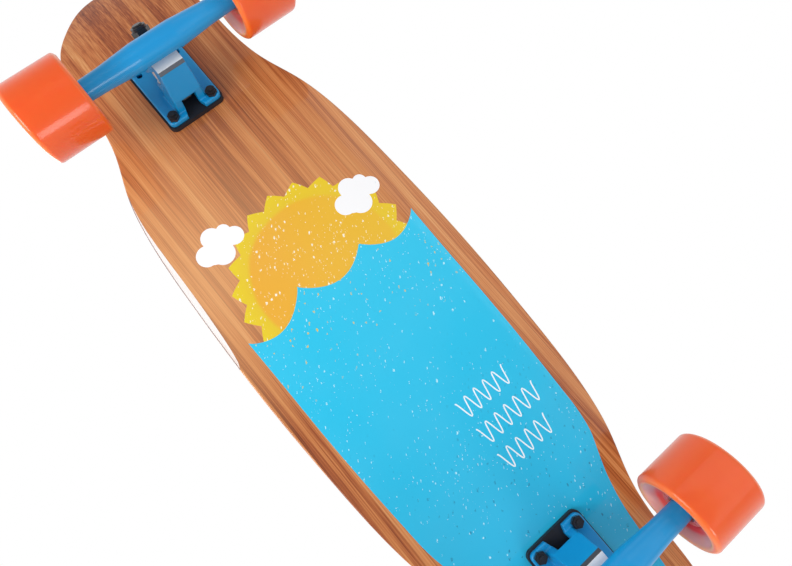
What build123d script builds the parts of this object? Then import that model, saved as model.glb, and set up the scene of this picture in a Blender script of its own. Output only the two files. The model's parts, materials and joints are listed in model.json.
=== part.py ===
from build123d import *
import os
from math import cos, radians, sin

os.makedirs("parts", exist_ok=True)

# A short longboard skateboard. +X is the nose, +Y the rider's left, +Z up; the wheels stand on z = 0.
# Lengths are millimetres.

# Deck
deck_length = 838.0
deck_width = 228.6
veneer_thickness = 1.6
core_thickness = 9.4
grip_thickness = 0.9
grip_inset = 2.5
tip_rise = 18.0
flat_half_length = 315.0
edge_radius = 2.4
bend_sweep = 24.0

# Wheels, bearings and axle
wheel_radius = 35.0
wheel_width = 52.0
wheel_centre_y = 93.5
tyre_edge_radius = 3.0
core_radius = 16.5
core_chamfer = 1.2
lip_radius = 30.2
lip_depth = 1.2
bearing_bore = 4.0
bearing_radius = 11.0
bearing_width = 7.0
spacer_length = 10.0
inner_ring_radius = 6.0
outer_ring_inner_radius = 9.0
ball_radius = 1.984
ball_circle_radius = 7.5
balls_per_bearing = 7
washer_thickness = 1.0
axle_end_y = 110.5

# Trucks: places are measured from the deck's underside, straight above the axle.
# x grows towards the board's end and z is negative below the deck.
axle_x = 270.0
axle_drop = 74.2
deck_bottom = wheel_radius + axle_drop
core_top = veneer_thickness + core_thickness
deck_top = core_top + grip_thickness
hanger_half_width = 75.0
beam_middle_radius = 11.8
beam_middle_half = 18.0
beam_shoulder_y = 50.0
beam_end_radius = 8.9
beam_shoulder_radius = 9.5
bolt_spacing_across = 41.275
bolt_spacing_long = 63.5
bolt_spacing_short = 53.975
inboard_bolt_x = -23.5
bolt_radius = 2.4
bolt_hole_radius = 2.6
bolt_head_radius = 4.7
bolt_head_height = 2.6
bolt_point = 1.8
bolt_socket_radius = 1.7
bolt_socket_depth = 1.8
head_taper = 42.0
head_clearance = 0.1
nut_height = 5.2
nut_flats = 9.5
spare_hole_radius = 2.75
riser_thickness = 5.5
riser_inboard_x = -31.0
riser_outboard_x = 48.0
riser_width = 58.0
plate_thickness = 6.0
plate_inboard_x = -29.5
plate_outboard_x = 46.5
plate_width = 55.0
plate_bottom = riser_thickness + plate_thickness
boss_radius = 15.0
boss_length = 40.0
tower_tip_drop = 62.6
ridge_back_x = -23.5
ridge_back_drop = 28.0
arch_half_width = 7.2
arch_inner_x = -13.5
arch_drop = 26.0
slot_mouth_half_width = 10.4
head_pocket_radius = 9.0
kingpin_angle = 40.0
steering_angle = 30.0
ring_x = 14.0
ring_drop = 41.0
kingpin_radius = 4.75
bushing_radius = 12.7
bushing_hole_radius = 4.95
ring_radius = 16.5
ring_hole_radius = 6.8
ring_web = 3.0
ring_lip = 5.0
road_bushing_length = 14.5
board_bushing_length = 13.5
cup_washer_thickness = 1.6
cup_washer_radius = 13.2
kingpin_shoulder = 34.0
kingpin_head_height = 6.0
kingpin_head_flats = 14.3
kingpin_nut_height = 10.0
cup_radius = 6.5
pin_radius = 4.5
pin_root_radius = 6.0
pin_clearance = 0.08
cup_mouth = 19.6
cup_length = 10.0
pin_reach = 28.0

# Directions in a truck's side plane
kingpin_direction = (sin(radians(kingpin_angle)), 0, -cos(radians(kingpin_angle)))
pivot_direction = (-cos(radians(steering_angle)), 0, -sin(radians(steering_angle)))
pivot_cross = (sin(radians(steering_angle)), 0, -cos(radians(steering_angle)))
ring_centre = (ring_x, 0, -ring_drop)
kingpin_plane = Plane(origin=ring_centre, x_dir=(0, 1, 0), z_dir=kingpin_direction)
pivot_plane = Plane(origin=ring_centre, x_dir=pivot_cross, z_dir=pivot_direction)
board_seat = ring_web + board_bushing_length + cup_washer_thickness
road_washer_face = ring_web + road_bushing_length
road_nut_face = road_washer_face + cup_washer_thickness

bolt_places = [
    (inboard_bolt_x + along, across * bolt_spacing_across / 2)
    for along in (0, bolt_spacing_long)
    for across in (-1, 1)
]
spare_places = [
    (inboard_bolt_x + bolt_spacing_short, across * bolt_spacing_across / 2)
    for across in (-1, 1)
]

truck_places = {
    "front": Location((axle_x, 0, deck_bottom)),
    "rear": Location((-axle_x, 0, deck_bottom), (0, 0, 180)),
}
wheel_places = {
    "front_left": Location((axle_x, wheel_centre_y, wheel_radius)),
    "front_right": Location((axle_x, -wheel_centre_y, wheel_radius), (0, 0, 180)),
    "rear_left": Location((-axle_x, wheel_centre_y, wheel_radius)),
    "rear_right": Location((-axle_x, -wheel_centre_y, wheel_radius), (0, 0, 180)),
}


def write_copies(piece, name, places):
    """Write one placed copy of a finished piece for each named place."""
    for prefix, place in places.items():
        copy = piece.moved(place)
        copy.label = f"{prefix}_{name}"
        export_step(copy, f"parts/{prefix}_{name}.step")


# ---------------------------------------------------------------- deck

def deck_outline(inset):
    """The plan of the deck: wide waist, wheel cut-outs and round ends."""
    half_length = deck_length / 2 - inset
    half_width = deck_width / 2 - inset
    flank = [
        (0, half_width),
        (100, half_width - 2.6),
        (175, half_width - 8.6),
        (218, half_width - 18.0),
        (256, half_width - 31.5),
        (298, half_width - 38.2),
        (340, half_width - 40.5),
        (376, half_width - 49.8),
        (399 - inset, half_width - 69.5),
        (half_length, 0),
    ]
    with BuildSketch() as outline:
        with BuildLine():
            Spline(*flank, tangents=[(1, 0), (0, -1)])
            mirror(about=Plane.XZ)
            mirror(about=Plane.YZ)
        make_face()
    return outline.sketch


def deck_layer(low, high, inset=0.0):
    """A ply between two heights over the underside: flat, with upturned ends."""
    run = deck_length / 2 - flat_half_length
    bend_radius = (run**2 + tip_rise**2) / (2 * tip_rise)
    with BuildPart() as layer:
        with BuildSketch(Plane.XZ):
            with BuildLine():
                centre = (flat_half_length, deck_bottom + bend_radius)
                lower = CenterArc(centre, bend_radius - low, -90, bend_sweep)
                upper = CenterArc(centre, bend_radius - high, -90, bend_sweep)
                Line(lower @ 1, upper @ 1)
                Line((0, deck_bottom + low), lower @ 0)
                Line((0, deck_bottom + high), upper @ 0)
                mirror(about=Plane.YZ)
            make_face()
        extrude(amount=deck_width, both=True)
        with BuildSketch(Plane.XY.offset(deck_bottom - 10)):
            add(deck_outline(inset))
        extrude(amount=tip_rise + 60, mode=Mode.INTERSECT)
        with BuildSketch(Plane.XY.offset(deck_bottom - 10)):
            for side in (-1, 1):
                with Locations(*[(side * (axle_x + x), y) for x, y in bolt_places]):
                    Circle(bolt_hole_radius)
        extrude(amount=tip_rise + 60, mode=Mode.SUBTRACT)
    return layer


def bolt_head_sinks():
    """The countersinks for all the mounting bolts, from the top of the deck."""
    with BuildPart() as sinks:
        with BuildSketch(Plane.XY.offset(deck_bottom + deck_top)):
            for side in (-1, 1):
                with Locations(*[(side * (axle_x + x), y) for x, y in bolt_places]):
                    Circle(bolt_head_radius + head_clearance)
        extrude(amount=-bolt_head_height - 2 * head_clearance, taper=head_taper)
    return sinks.part


with BuildPart() as bamboo_veneer:
    add(deck_layer(0, veneer_thickness).part)
    fillet(bamboo_veneer.faces().sort_by(Axis.Z)[0].outer_wire().edges(), veneer_thickness * 0.7)
bamboo_veneer.part.label = "bamboo_veneer"
export_step(bamboo_veneer.part, "parts/bamboo_veneer.step")

with BuildPart() as deck_core:
    add(deck_layer(veneer_thickness, core_top).part)
    fillet(deck_core.faces().sort_by(Axis.Z)[-1].outer_wire().edges(), edge_radius)
    add(bolt_head_sinks(), mode=Mode.SUBTRACT)
deck_core.part.label = "deck_core"
export_step(deck_core.part, "parts/deck_core.step")

with BuildPart() as grip_tape:
    add(deck_layer(core_top, deck_top, grip_inset).part)
    add(bolt_head_sinks(), mode=Mode.SUBTRACT)
grip_tape.part.label = "grip_tape"
export_step(grip_tape.part, "parts/grip_tape.step")

# ---------------------------------------------------------------- truck, fixed to the deck

with BuildPart() as riser_pad:
    with BuildSketch():
        with Locations(((riser_inboard_x + riser_outboard_x) / 2, 0)):
            RectangleRounded(riser_outboard_x - riser_inboard_x, riser_width, 6)
        with Locations(*bolt_places):
            Circle(bolt_hole_radius, mode=Mode.SUBTRACT)
    extrude(amount=-riser_thickness)
write_copies(riser_pad.part, "riser_pad", truck_places)

with BuildPart() as plate_flange:
    with BuildSketch(Plane.XY.offset(-riser_thickness)):
        with Locations(((plate_inboard_x + plate_outboard_x) / 2, 0)):
            RectangleRounded(plate_outboard_x - plate_inboard_x, plate_width, 5)
    extrude(amount=-plate_thickness)
    chamfer(plate_flange.faces().sort_by(Axis.Z)[0].edges(), 1.0)

with BuildPart() as baseplate:
    with BuildSketch(kingpin_plane.offset(-board_seat)):
        Circle(boss_radius)
    extrude(amount=-boss_length)
    split(bisect_by=Plane.YZ.offset(plate_inboard_x + 10), keep=Keep.TOP)
    add(plate_flange.part)
    # The ridge and pivot tower: a drafted block, trimmed to its side profile.
    with BuildSketch(Plane.XY.offset(-riser_thickness - 1), mode=Mode.PRIVATE) as ridge_foot:
        with Locations((0.5, 0)):
            RectangleRounded(2 * (0.5 - ridge_back_x) + 2, 31.0, 2.5)
    with BuildSketch(Plane.XY.offset(-tower_tip_drop - 1), mode=Mode.PRIVATE) as ridge_tip:
        with Locations((0.5, 0)):
            RectangleRounded(2 * (0.5 - ridge_back_x) - 4, 24.6, 1.5)
    drafted = loft([ridge_foot.sketch, ridge_tip.sketch], mode=Mode.PRIVATE)
    with BuildSketch(Plane.XZ, mode=Mode.PRIVATE) as tower_side:
        with BuildLine():
            Polyline(
                (ridge_back_x, -riser_thickness),
                (ridge_back_x, -ridge_back_drop),
                (-16.0, -60.2),
                (-14.2, -tower_tip_drop),
                (-4.6, -tower_tip_drop),
                (1.4, -58.3),
                (-6.9, -43.9),
                (-9.7, -35.8),
                (2, -riser_thickness),
                close=True,
            )
        make_face()
    profile = extrude(tower_side.sketch, amount=30, both=True, mode=Mode.PRIVATE)
    add(drafted & profile)
    with BuildSketch(kingpin_plane.offset(-board_seat)):
        Circle(cup_washer_radius + 1.4)
    extrude(amount=board_seat - 1, mode=Mode.SUBTRACT)
    split(bisect_by=Plane.XY.offset(-riser_thickness), keep=Keep.BOTTOM)
    # Pivot cup bore, kingpin hole and head pocket
    with BuildSketch(pivot_plane.offset(cup_mouth - 4)):
        Circle(cup_radius)
    extrude(amount=cup_length + 4, mode=Mode.SUBTRACT)
    with BuildSketch(kingpin_plane.offset(-board_seat + 1)):
        Circle(kingpin_radius)
    extrude(amount=-boss_length, mode=Mode.SUBTRACT)
    with BuildSketch(kingpin_plane.offset(-kingpin_shoulder)):
        Circle(head_pocket_radius)
    extrude(amount=-boss_length / 2, mode=Mode.SUBTRACT)
    # Slot and arch at the inboard end, which let the kingpin's head in and out
    with BuildSketch(Plane.XY.offset(-riser_thickness)):
        with BuildLine():
            Polyline(
                (plate_inboard_x - 2, -slot_mouth_half_width),
                (plate_inboard_x - 2, slot_mouth_half_width),
                (ridge_back_x + 2, arch_half_width),
                (ridge_back_x + 2, -arch_half_width),
                close=True,
            )
        make_face()
    extrude(amount=-plate_thickness, mode=Mode.SUBTRACT)
    with BuildSketch(Plane.XY.offset(-riser_thickness)):
        with Locations(((plate_inboard_x + arch_inner_x) / 2, 0)):
            Rectangle(arch_inner_x - plate_inboard_x, 2 * arch_half_width)
    extrude(amount=riser_thickness - arch_drop, mode=Mode.SUBTRACT)
    with BuildSketch(Plane.XY.offset(-riser_thickness + 1)):
        with Locations(*bolt_places):
            Circle(bolt_hole_radius)
        with Locations(*spare_places):
            Circle(spare_hole_radius)
    extrude(amount=-plate_thickness - 3, mode=Mode.SUBTRACT)
write_copies(baseplate.part, "baseplate", truck_places)

with BuildPart() as kingpin:
    with BuildSketch(kingpin_plane.offset(-kingpin_shoulder)):
        Circle(kingpin_radius)
    extrude(amount=kingpin_shoulder + road_nut_face + kingpin_nut_height + 1.5)
    chamfer(kingpin.faces().sort_by(Axis.Z)[0].edges(), 0.8)
    with BuildSketch(kingpin_plane.offset(-kingpin_shoulder)):
        RegularPolygon(kingpin_head_flats / 2, 6, major_radius=False)
    extrude(amount=-kingpin_head_height)
write_copies(kingpin.part, "kingpin", truck_places)

with BuildPart() as kingpin_nut:
    with BuildSketch(kingpin_plane.offset(road_nut_face)):
        RegularPolygon(kingpin_head_flats / 2, 6, major_radius=False)
        Circle(kingpin_radius, mode=Mode.SUBTRACT)
    extrude(amount=kingpin_nut_height * 0.72)
    with BuildSketch(kingpin_plane.offset(road_nut_face + kingpin_nut_height * 0.72)):
        Circle(kingpin_head_flats / 2 - 0.4)
        Circle(kingpin_radius, mode=Mode.SUBTRACT)
    extrude(amount=kingpin_nut_height * 0.28)
write_copies(kingpin_nut.part, "kingpin_nut", truck_places)


def cup_washer(face):
    """A washer around the kingpin, starting at a distance from the ring's centre."""
    with BuildPart() as washer:
        with BuildSketch(kingpin_plane.offset(face)):
            Circle(cup_washer_radius)
            Circle(kingpin_radius, mode=Mode.SUBTRACT)
        extrude(amount=cup_washer_thickness)
        fillet(washer.edges().filter_by(GeomType.CIRCLE).sort_by(SortBy.RADIUS)[-2:], 0.5)
    return washer.part


def bushing(face, length):
    """A barrel of urethane around the kingpin."""
    with BuildPart() as barrel:
        with BuildSketch(kingpin_plane.offset(face)):
            Circle(bushing_radius)
            Circle(bushing_hole_radius, mode=Mode.SUBTRACT)
        extrude(amount=length)
        fillet(barrel.edges().filter_by(GeomType.CIRCLE).sort_by(SortBy.RADIUS)[-2:], 1.2)
    return barrel.part


write_copies(cup_washer(-board_seat), "cup_washer_board", truck_places)
write_copies(cup_washer(road_washer_face), "cup_washer_road", truck_places)
write_copies(bushing(-ring_web - board_bushing_length, board_bushing_length), "bushing_board", truck_places)
write_copies(bushing(ring_web, road_bushing_length), "bushing_road", truck_places)

with BuildPart() as pivot_cup:
    with BuildSketch(pivot_plane.offset(cup_mouth)):
        Circle(cup_radius)
    extrude(amount=cup_length)
    with BuildSketch(pivot_plane.offset(cup_mouth)):
        Circle(pin_radius + pin_clearance)
    extrude(amount=pin_reach - cup_mouth + 0.3, mode=Mode.SUBTRACT)
write_copies(pivot_cup.part, "pivot_cup", truck_places)

with BuildPart() as mounting_bolts:
    with BuildSketch(Plane.XY.offset(deck_top)):
        with Locations(*bolt_places):
            Circle(bolt_radius)
    extrude(amount=-deck_top - plate_bottom - nut_height - bolt_point)
    with BuildSketch(Plane.XY.offset(deck_top)):
        with Locations(*bolt_places):
            Circle(bolt_head_radius)
    extrude(amount=-bolt_head_height, taper=head_taper)
    with BuildSketch(Plane.XY.offset(deck_top)):
        with Locations(*bolt_places):
            RegularPolygon(bolt_socket_radius, 6)
    extrude(amount=-bolt_socket_depth, mode=Mode.SUBTRACT)
write_copies(mounting_bolts.part, "mounting_bolts", truck_places)

with BuildPart() as mounting_nuts:
    with BuildSketch(Plane.XY.offset(-plate_bottom)):
        with Locations(*bolt_places):
            RegularPolygon(nut_flats / 2, 6, major_radius=False)
            Circle(bolt_radius, mode=Mode.SUBTRACT)
    extrude(amount=-nut_height * 0.68)
    with BuildSketch(Plane.XY.offset(-plate_bottom - nut_height * 0.68)):
        with Locations(*bolt_places):
            Circle(nut_flats / 2 - 0.5)
            Circle(bolt_radius, mode=Mode.SUBTRACT)
    extrude(amount=-nut_height * 0.32)
write_copies(mounting_nuts.part, "mounting_nuts", truck_places)

# ---------------------------------------------------------------- truck, steering with the hanger

axle_line = Axis((0, 0, -axle_drop), (0, 1, 0))
relief_distance = 13.3
with BuildPart() as hanger:
    with BuildSketch(Plane.YZ):
        with BuildLine():
            Polyline(
                (0, -axle_drop),
                (0, beam_middle_radius - axle_drop),
                (beam_middle_half, beam_middle_radius - axle_drop),
                (beam_shoulder_y, beam_shoulder_radius - axle_drop),
                (hanger_half_width, beam_end_radius - axle_drop),
                (hanger_half_width, -axle_drop),
                close=True,
            )
        make_face()
        mirror(about=Plane.YZ)
    revolve(axis=axle_line)
    with BuildSketch(kingpin_plane.offset(-ring_lip)):
        Circle(ring_radius)
    extrude(amount=2 * ring_lip)
    with BuildSketch(Plane.XZ):
        with BuildLine():
            Polyline(
                (14, -41),
                (-1.2, -48.0),
                (-2.0, -50.6),
                (4.2, -61.4),
                (3.0, -72.0),
                (9.0, -72.0),
                (13.0, -61.2),
                (7.2, -54.2),
                close=True,
            )
        make_face()
    extrude(amount=12.5, both=True)
    with BuildSketch(pivot_plane.offset(cup_mouth - 1)):
        with Locations((relief_distance - 20, 0)):
            Rectangle(40, 34)
    extrude(amount=30, mode=Mode.SUBTRACT)
    with BuildSketch(pivot_plane.offset(8)):
        Circle(pin_root_radius)
    extrude(amount=cup_mouth - 0.6 - 8)
    with BuildSketch(pivot_plane.offset(8)):
        Circle(pin_radius)
    extrude(amount=pin_reach - 8)
    for direction in (-1, 1):
        with BuildSketch(kingpin_plane.offset(direction * ring_web)):
            Circle(bushing_radius + 0.4)
        extrude(amount=direction * 22, mode=Mode.SUBTRACT)
    with BuildSketch(kingpin_plane.offset(-10)):
        Circle(ring_hole_radius)
    extrude(amount=20, mode=Mode.SUBTRACT)
    with BuildSketch(Plane.XZ.offset(-100)):
        with Locations((0, -axle_drop)):
            Circle(bearing_bore)
    extrude(amount=200, mode=Mode.SUBTRACT)
write_copies(hanger.part, "hanger", truck_places)

with BuildPart() as axle:
    with BuildSketch(Plane.XZ.offset(-axle_end_y)):
        with Locations((0, -axle_drop)):
            Circle(bearing_bore)
    extrude(amount=2 * axle_end_y)
    chamfer(axle.edges().filter_by(GeomType.CIRCLE), 0.7)
write_copies(axle.part, "axle", truck_places)


def rings_on_axle(stretches, inner, outer):
    """Rings around both ends of the axle, each from one distance from the middle to another."""
    with BuildPart() as rings:
        for start, end in stretches:
            for side in (-1, 1):
                with BuildSketch(Plane.XZ.offset(-side * start)):
                    with Locations((0, -axle_drop)):
                        Circle(outer)
                        Circle(inner, mode=Mode.SUBTRACT)
                extrude(amount=-side * (end - start))
    return rings


inner_bearing = hanger_half_width + washer_thickness
outer_bearing = inner_bearing + bearing_width + spacer_length
bearing_starts = (inner_bearing, outer_bearing)
outer_washer = outer_bearing + bearing_width
axle_nut_start = outer_washer + washer_thickness

speed_washers = rings_on_axle(
    [(hanger_half_width, inner_bearing), (outer_washer, axle_nut_start)], bearing_bore, 5.8
)
write_copies(speed_washers.part, "speed_washers", truck_places)

spacers = rings_on_axle([(inner_bearing + bearing_width, outer_bearing)], bearing_bore, 5.4)
write_copies(spacers.part, "bearing_spacers", truck_places)

groove_radius = ball_radius + 0.05
with BuildPart() as inner_rings:
    add(rings_on_axle([(y, y + bearing_width) for y in bearing_starts], bearing_bore, inner_ring_radius).part)
    for start in bearing_starts:
        for side in (-1, 1):
            middle = side * (start + bearing_width / 2)
            with Locations(Location((0, middle, -axle_drop), (90, 0, 0))):
                Torus(ball_circle_radius, groove_radius, mode=Mode.SUBTRACT)
write_copies(inner_rings.part, "bearing_inner_rings", truck_places)

axle_nut_flats = 13.0
with BuildPart() as axle_nuts:
    for side in (-1, 1):
        with BuildSketch(Plane.XZ.offset(-side * axle_nut_start)):
            with Locations((0, -axle_drop)):
                RegularPolygon(axle_nut_flats / 2, 6, major_radius=False)
                Circle(bearing_bore, mode=Mode.SUBTRACT)
        extrude(amount=-side * 5.4)
        with BuildSketch(Plane.XZ.offset(-side * (axle_nut_start + 5.4))):
            with Locations((0, -axle_drop)):
                Circle(axle_nut_flats / 2 - 0.6)
                Circle(bearing_bore, mode=Mode.SUBTRACT)
        extrude(amount=-side * 2.2)
write_copies(axle_nuts.part, "axle_nuts", truck_places)

# ---------------------------------------------------------------- wheels
# Each wheel is made about its own centre with its axis along Y and its outer face towards +Y.

half_wheel = wheel_width / 2
bearing_offsets = [y - wheel_centre_y for y in bearing_starts]
core_inner_face = bearing_offsets[0] - 1.6
core_outer_face = bearing_offsets[1] + bearing_width + 1.6
wheel_axis = Axis((0, 0, 0), (0, 1, 0))

with BuildPart() as tyre:
    with BuildSketch(Plane.YZ):
        with BuildLine():
            Polyline(
                (core_inner_face + core_chamfer, core_radius),
                (core_inner_face - 0.4, core_radius + 3.2),
                (-half_wheel + lip_depth, lip_radius - 2),
                (-half_wheel, lip_radius),
                (-half_wheel, wheel_radius),
                (half_wheel, wheel_radius),
                (half_wheel, lip_radius),
                (half_wheel - lip_depth, lip_radius - 2),
                (core_outer_face + 0.4, core_radius + 3.2),
                (core_outer_face - core_chamfer, core_radius),
                close=True,
            )
        make_face()
    revolve(axis=wheel_axis)
    fillet(tyre.edges().filter_by(GeomType.CIRCLE).sort_by(SortBy.RADIUS)[-2:], tyre_edge_radius)
write_copies(tyre.part, "tyre", wheel_places)

with BuildPart() as wheel_core:
    with BuildSketch(Plane.YZ):
        with BuildLine():
            Polyline(
                (core_inner_face, bearing_radius),
                (core_inner_face, core_radius - core_chamfer),
                (core_inner_face + core_chamfer, core_radius),
                (core_outer_face - core_chamfer, core_radius),
                (core_outer_face, core_radius - core_chamfer),
                (core_outer_face, bearing_radius),
                (bearing_offsets[1], bearing_radius),
                (bearing_offsets[1], outer_ring_inner_radius + 0.3),
                (bearing_offsets[0] + bearing_width, outer_ring_inner_radius + 0.3),
                (bearing_offsets[0] + bearing_width, bearing_radius),
                close=True,
            )
        make_face()
    revolve(axis=wheel_axis)
write_copies(wheel_core.part, "wheel_core", wheel_places)

shield_thickness = 0.35
shield_depth = 0.2
with BuildPart() as outer_rings:
    for start in bearing_offsets:
        with BuildSketch(Plane.XZ.offset(-start)):
            Circle(bearing_radius)
            Circle(outer_ring_inner_radius, mode=Mode.SUBTRACT)
        extrude(amount=-bearing_width)
        with Locations(Location((0, start + bearing_width / 2, 0), (90, 0, 0))):
            Torus(ball_circle_radius, groove_radius, mode=Mode.SUBTRACT)
write_copies(outer_rings.part, "bearing_outer_rings", wheel_places)

with BuildPart() as shields:
    for start in bearing_offsets:
        for face in (start + shield_depth, start + bearing_width - shield_depth - shield_thickness):
            with BuildSketch(Plane.XZ.offset(-face)):
                Circle(outer_ring_inner_radius)
                Circle(inner_ring_radius + 0.3, mode=Mode.SUBTRACT)
            extrude(amount=-shield_thickness)
write_copies(shields.part, "bearing_shields", wheel_places)

with BuildPart() as ball_sets:
    for start in bearing_offsets:
        middle = start + bearing_width / 2
        with BuildSketch(Plane.XZ.offset(-middle + 0.8)):
            Circle(ball_circle_radius + 0.3)
            Circle(ball_circle_radius - 0.3, mode=Mode.SUBTRACT)
        extrude(amount=-1.6)
        with Locations(Location((0, middle, 0), (90, 0, 0))):
            with PolarLocations(ball_circle_radius, balls_per_bearing):
                Sphere(ball_radius)
write_copies(ball_sets.part, "bearing_balls", wheel_places)
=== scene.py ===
import json
import math

import bmesh
import bpy
from mathutils import Matrix, Vector


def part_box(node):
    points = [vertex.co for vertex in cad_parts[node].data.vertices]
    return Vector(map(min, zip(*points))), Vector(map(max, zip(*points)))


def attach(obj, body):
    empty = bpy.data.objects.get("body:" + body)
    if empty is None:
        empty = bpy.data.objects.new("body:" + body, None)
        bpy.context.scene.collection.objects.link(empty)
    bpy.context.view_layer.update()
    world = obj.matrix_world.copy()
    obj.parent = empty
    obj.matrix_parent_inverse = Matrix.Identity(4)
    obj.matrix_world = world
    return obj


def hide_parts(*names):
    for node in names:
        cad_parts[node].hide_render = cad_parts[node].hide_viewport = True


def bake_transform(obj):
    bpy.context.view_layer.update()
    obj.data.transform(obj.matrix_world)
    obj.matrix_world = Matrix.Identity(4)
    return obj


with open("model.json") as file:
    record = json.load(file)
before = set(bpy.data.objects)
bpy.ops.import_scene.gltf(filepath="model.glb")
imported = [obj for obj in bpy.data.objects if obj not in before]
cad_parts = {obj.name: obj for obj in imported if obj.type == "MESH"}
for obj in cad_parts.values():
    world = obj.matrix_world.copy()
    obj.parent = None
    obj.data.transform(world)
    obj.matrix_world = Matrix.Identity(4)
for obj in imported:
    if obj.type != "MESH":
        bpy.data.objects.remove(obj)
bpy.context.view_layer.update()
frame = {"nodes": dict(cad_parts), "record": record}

# ------------------------------------------------------------------ places, in metres
nodes = frame["nodes"]
ENDS = (("front", 1), ("rear", -1))
SIDES = (("left", 1), ("right", -1))

half_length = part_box("bamboo_veneer")[1].x
tyre_low, tyre_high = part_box("front_left_tyre")
deck_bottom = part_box("front_riser_pad")[1].z
tip_rise = 0.018
flat_half_length = 0.315
ply_thickness = 0.0019
bend_radius = ((half_length - flat_half_length) ** 2 + tip_rise**2) / (2 * tip_rise)
wheel_radius = (tyre_high.z - tyre_low.z) / 2
wheel_half_width = (tyre_high.y - tyre_low.y) / 2
wheel_centre = (tyre_low + tyre_high) / 2
axle_x, wheel_y = wheel_centre.x, wheel_centre.y
hollow_radius = 0.0325
lip_width = 0.004


def underside(x):
    """Height of the deck's underside at a distance along the board."""
    past = max(0.0, abs(x) - flat_half_length)
    return deck_bottom + bend_radius - math.sqrt(bend_radius**2 - past**2)


# ------------------------------------------------------------------ node helper

class Shader:
    """A small wrapper that makes and links shader nodes."""

    def __init__(self, name):
        self.material = bpy.data.materials.new(name)
        self.material.use_nodes = True
        self.tree = self.material.node_tree
        self.tree.nodes.clear()
        self.output = self.tree.nodes.new("ShaderNodeOutputMaterial")
        self.surface = self.tree.nodes.new("ShaderNodeBsdfPrincipled")
        self.tree.links.new(self.surface.outputs[0], self.output.inputs["Surface"])
        self.place = self.add("ShaderNodeTexCoord").outputs["Object"]

    def add(self, kind, **settings):
        node = self.tree.nodes.new(kind)
        for key, value in settings.items():
            setattr(node, key, value)
        return node

    def put(self, socket, value):
        if isinstance(value, bpy.types.NodeSocket):
            self.tree.links.new(value, socket)
        else:
            socket.default_value = value

    def set(self, **values):
        for key, value in values.items():
            self.put(self.surface.inputs[key.replace("_", " ")], value)

    def math(self, operation, a, b=0.0, c=0.0, clamp=False):
        node = self.add("ShaderNodeMath", operation=operation, use_clamp=clamp)
        for socket, value in zip(node.inputs, (a, b, c)):
            self.put(socket, value)
        return node.outputs[0]

    def scaled(self, scale, location=(0, 0, 0)):
        node = self.add("ShaderNodeMapping")
        self.put(node.inputs["Vector"], self.place)
        node.inputs["Scale"].default_value = scale
        node.inputs["Location"].default_value = location
        return node.outputs[0]

    def noise(self, scale, vector=None, detail=2.0, roughness=0.5, distortion=0.0):
        node = self.add("ShaderNodeTexNoise")
        self.put(node.inputs["Vector"], vector or self.place)
        node.inputs["Scale"].default_value = scale
        node.inputs["Detail"].default_value = detail
        node.inputs["Roughness"].default_value = roughness
        node.inputs["Distortion"].default_value = distortion
        return node.outputs[0]

    def voronoi(self, scale, feature="F1", output="Distance", dimensions="3D", value=None):
        node = self.add("ShaderNodeTexVoronoi", feature=feature, voronoi_dimensions=dimensions)
        if dimensions == "1D":
            self.put(node.inputs["W"], value)
        else:
            self.put(node.inputs["Vector"], self.place)
        node.inputs["Scale"].default_value = scale
        return node.outputs[output]

    def flecks(self, spacing, share, size, shift):
        """A mask of small torn flecks: about one per spacing, of which a share is kept."""
        warp = self.noise(620, detail=3)
        placed = self.scaled((1, 1, 1), (shift, shift * 0.7, 0))
        nudge = self.add("ShaderNodeVectorMath", operation="MULTIPLY_ADD")
        self.put(nudge.inputs[0], warp)
        nudge.inputs[1].default_value = (0.0060, 0.0036, 0)
        self.put(nudge.inputs[2], placed)
        cells = self.add("ShaderNodeTexVoronoi", feature="F1", voronoi_dimensions="2D")
        self.put(cells.inputs["Vector"], nudge.outputs[0])
        cells.inputs["Scale"].default_value = 1 / spacing
        pick = self.xyz(cells.outputs["Color"])
        clump = self.noise(14, self.scaled((1, 1, 1), (shift, 0, 0)), detail=2)
        limit = self.math("ADD", share, self.math("MULTIPLY", self.math("SUBTRACT", clump, 0.5), 1.1))
        kept = self.math("LESS_THAN", pick[0], limit)
        reach = self.math("MULTIPLY", self.math("ADD", 0.35, pick[1]), size / spacing)
        edge = self.math("SUBTRACT", reach, cells.outputs["Distance"])
        inside = self.math("MULTIPLY", edge, 14, clamp=True)
        return self.math("MULTIPLY", inside, kept)

    def xyz(self, vector=None):
        node = self.add("ShaderNodeSeparateXYZ")
        self.put(node.inputs[0], vector or self.place)
        return node.outputs

    def ramp(self, value, stops, interpolation="LINEAR"):
        node = self.add("ShaderNodeValToRGB")
        node.color_ramp.interpolation = interpolation
        elements = node.color_ramp.elements
        while len(elements) < len(stops):
            elements.new(0.5)
        for element, (place, colour) in zip(elements, stops):
            element.position = place
            shade = colour if isinstance(colour, tuple) else (colour, colour, colour)
            element.color = (*shade, 1)
        self.put(node.inputs[0], value)
        return node.outputs[0]

    def mix(self, factor, a, b):
        node = self.add("ShaderNodeMix", data_type="RGBA", blend_type="MIX")
        self.put(node.inputs["Factor"], factor)
        for socket, value in ((node.inputs[6], a), (node.inputs[7], b)):
            self.put(socket, (*value, 1) if isinstance(value, tuple) and len(value) == 3 else value)
        return node.outputs[2]

    def spread(self, value, low, high):
        """Maps 0..1 to low..high."""
        node = self.add("ShaderNodeMapRange")
        self.put(node.inputs["Value"], value)
        node.inputs["To Min"].default_value = low
        node.inputs["To Max"].default_value = high
        return node.outputs[0]

    def bump(self, height, strength, distance):
        node = self.add("ShaderNodeBump")
        self.put(node.inputs["Height"], height)
        node.inputs["Strength"].default_value = strength
        node.inputs["Distance"].default_value = distance
        self.put(self.surface.inputs["Normal"], node.outputs[0])


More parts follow.
